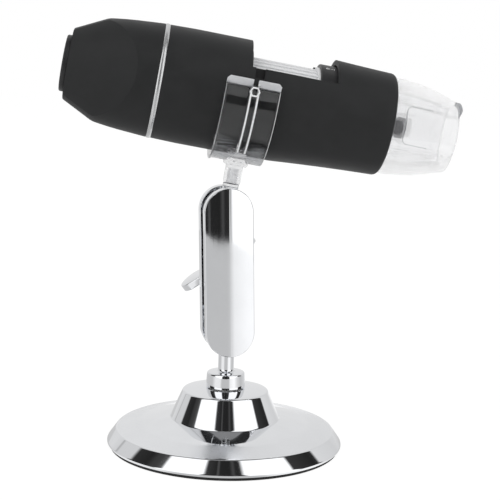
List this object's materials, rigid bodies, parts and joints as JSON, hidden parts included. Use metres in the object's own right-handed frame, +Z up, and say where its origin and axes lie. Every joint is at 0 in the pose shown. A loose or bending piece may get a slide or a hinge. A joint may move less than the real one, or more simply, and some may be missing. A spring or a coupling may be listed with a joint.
{
  "type": "usb digital microscope",
  "caption": "Tube-shaped digital microscope with a thumb focus wheel and clear hood, held in a clear clip on a jointed chrome arm above a round weighted base.",
  "frame": {"origin": "centre of the base's underside", "axes": "+Z up, Y along the clamp screw of the arm with the wing nut at +Y, and the microscope's front end towards +X"},
  "size_m": [0.1165, 0.07, 0.1253],
  "materials": {
    "chrome": "mirror polish",
    "iron": "raw",
    "foam": "matt",
    "bush_plastic": "satin",
    "steel": "plain",
    "clear_plastic": "clear moulded",
    "soft_black": "soft-touch",
    "inner_black": "moulded",
    "silver_plastic": "metallised",
    "board_green": "solder mask",
    "chip_black": "moulded",
    "cable_amber": "film",
    "board_white": "solder mask",
    "lamp_white": "clear epoxy",
    "lens_glass": "coated",
    "button_grey": "satin"
  },
  "bodies": {
    "base": {"base_shell": "chrome", "base_weight": "iron", "base_pad": "foam", "swivel_bush": "bush_plastic"},
    "stud": {"ball_stud": "chrome", "stud_washer": "steel", "stud_nut": "steel"},
    "arm": {"arm_front_shell": "chrome", "clamp_screw": "steel"},
    "arm_back": {"arm_back_shell": "chrome", "clamp_washer": "steel"},
    "wing": {"wing_nut": "chrome"},
    "stem": {"ball_stem": "clear_plastic"},
    "holder": {"holder_clip": "clear_plastic"},
    "scope": {"main_shell": "soft_black", "rear_shell": "soft_black", "trim_ring": "silver_plastic", "end_cap": "inner_black", "cord_socket": "steel", "guide_tube": "inner_black", "front_bush": "inner_black", "guide_rods": "steel", "camera_board": "board_green", "image_sensor": "chip_black", "main_board": "board_green", "controller_chip": "chip_black", "button_switch": "chip_black", "sensor_cable": "cable_amber", "lamp_cable": "cable_amber", "board_screws": "steel", "lamp_board": "board_white", "lamps": "lamp_white"},
    "focus": {"focus_wheel": "silver_plastic", "focus_core": "inner_black"},
    "carriage": {"lens_carriage": "inner_black", "cam_pin": "steel", "lens_barrel": "steel", "front_lens": "lens_glass"},
    "button": {"snap_button": "button_grey", "switch_plunger": "button_grey"},
    "hood": {"clear_hood": "clear_plastic"}
  },
  "joints": [
    {"name": "stud_swivel", "type": "hinge", "parent": "base", "child": "stud", "pos_m": [0, 0, 0.0171], "axis": [0, 0, 1], "continuous": true},
    {"name": "arm_tilt", "type": "hinge", "parent": "stud", "child": "arm", "pos_m": [0, 0, 0.0355], "axis": [0, 1, 0], "range_deg": [-50, 50]},
    {"name": "shell_slide", "type": "slide", "parent": "arm", "child": "arm_back", "axis": [0, 1, 0], "range_m": [0, 0.0007]},
    {"name": "wing_turn", "type": "hinge", "parent": "arm_back", "child": "wing", "pos_m": [-0.00068, 0, 0.05309], "axis": [0, 1, 0], "range_deg": [0, 360]},
    {"name": "holder_tilt", "type": "hinge", "parent": "arm", "child": "stem", "pos_m": [-0.00135, 0, 0.07067], "axis": [0, -1, 0], "range_deg": [-75, 75]},
    {"name": "holder_swivel", "type": "hinge", "parent": "stem", "child": "holder", "pos_m": [-0.00135, 0, 0.07067], "axis": [0.1633, 0, 0.9866], "continuous": true},
    {"name": "scope_roll", "type": "hinge", "parent": "holder", "child": "scope", "pos_m": [-0.02165, 0.00274, 0.10789], "axis": [0.9812, -0.1045, -0.1624], "continuous": true},
    {"name": "focus_turn", "type": "hinge", "parent": "scope", "child": "focus", "pos_m": [-0.02165, 0.00274, 0.10789], "axis": [0.9812, -0.1045, -0.1624], "range_deg": [-180, 90]},
    {"name": "carriage_slide", "type": "slide", "parent": "scope", "child": "carriage", "axis": [0.9812, -0.1045, -0.1624], "range_m": [-0.008, 0.004]},
    {"name": "button_press", "type": "slide", "parent": "scope", "child": "button", "axis": [-0.0885, -0.9907, 0.103], "range_m": [0, 0.0006], "stiffness_N_per_m": 600, "springref_m": -0.0003},
    {"name": "hood_pull", "type": "slide", "parent": "scope", "child": "hood", "axis": [0.9812, -0.1045, -0.1624], "range_m": [0, 0.012]}
  ],
  "couplings": [
    {"joint": "focus_turn", "follows": "carriage_slide", "rad_per_m": 392.7}
  ]
}
